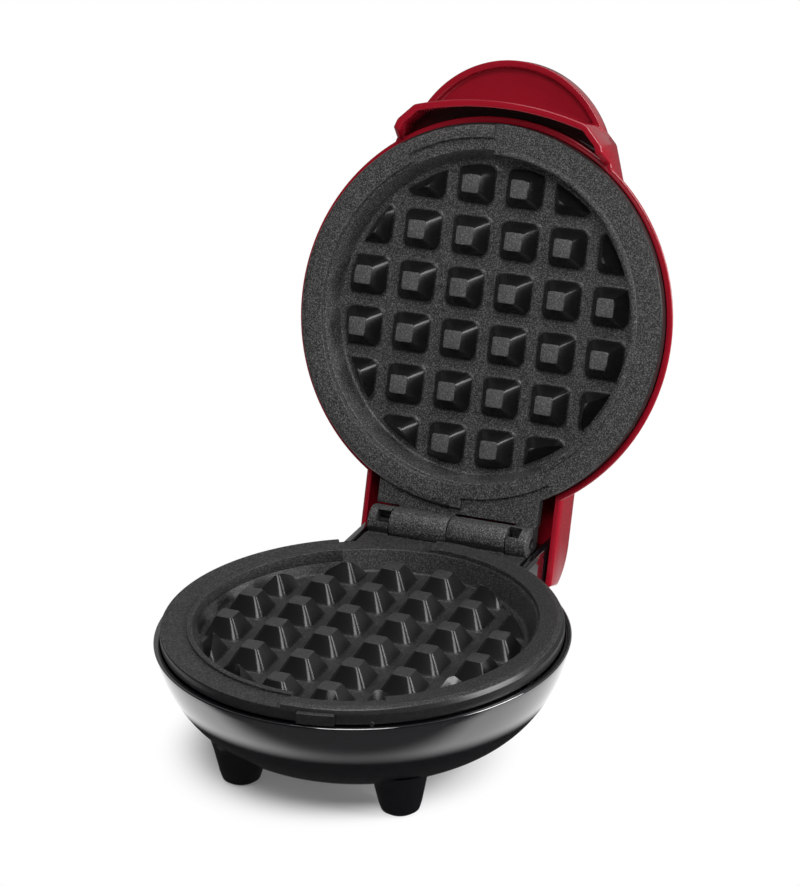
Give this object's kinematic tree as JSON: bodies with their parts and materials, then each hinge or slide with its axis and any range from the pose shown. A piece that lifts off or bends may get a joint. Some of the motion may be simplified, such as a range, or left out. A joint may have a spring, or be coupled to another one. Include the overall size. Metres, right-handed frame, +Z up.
{
  "type": "mini waffle maker",
  "caption": "Small round electric waffle maker, opened: a footed base and a hinged lid, each a gloss plastic shell round a dark cast waffle plate, with a finger tongue on the lid.",
  "frame": {"origin": "on the standing surface, under the middle of the opened object's bounding box", "axes": "+Z up, front toward -Y, +X to the right seen from the front"},
  "size_m": [0.124, 0.1918, 0.1781],
  "materials": {
    "black_gloss_plastic": "moulded gloss black",
    "red_gloss_plastic": "moulded gloss deep red",
    "coated_casting": "cast aluminium with a dark speckled non-stick coating",
    "rubber": "matt black rubber",
    "steel": "zinc plated steel",
    "bare_aluminium": "bare rolled aluminium",
    "heater_sheath": "heat darkened steel tube",
    "control_body": "heat resistant moulding, off white",
    "silicone": "silicone sleeved lead",
    "lens_plastic": "clear red lens",
    "lamp_glass": "small neon lamp"
  },
  "bodies": {
    "base": {"base_shell": "black_gloss_plastic", "foot_pad_front_left": "rubber", "foot_pad_front_right": "rubber", "foot_pad_rear_left": "rubber", "foot_pad_rear_right": "rubber", "base_screw_1": "steel", "base_screw_2": "steel", "base_screw_3": "steel", "thermostat": "control_body", "thermal_fuse": "bare_aluminium", "terminal_block": "control_body", "heater_lead_left": "silicone", "heater_lead_right": "silicone", "cord_gland": "rubber", "hinge_pin": "steel", "lower_plate": "coated_casting", "lower_heater": "heater_sheath", "lower_heater_clamp": "steel", "lower_reflector": "bare_aluminium", "lower_clamp_screw_1": "steel", "lower_clamp_screw_2": "steel", "lower_clamp_screw_3": "steel"},
    "lid": {"lid_shell": "red_gloss_plastic", "upper_plate": "coated_casting", "upper_heater": "heater_sheath", "upper_heater_clamp": "steel", "upper_reflector": "bare_aluminium", "upper_clamp_screw_1": "steel", "upper_clamp_screw_2": "steel", "upper_clamp_screw_3": "steel", "lid_clip_1": "steel", "lid_clip_2": "steel", "lid_clip_3": "steel", "indicator_lens": "lens_plastic", "indicator_lamp": "lamp_glass", "lamp_holder": "control_body"}
  },
  "joints": [
    {"name": "lid_hinge", "type": "hinge", "parent": "base", "child": "lid", "pos_m": [0, 0.03322, 0.04265], "axis": [1, 0, 0], "range_deg": [0, 109.4]}
  ]
}
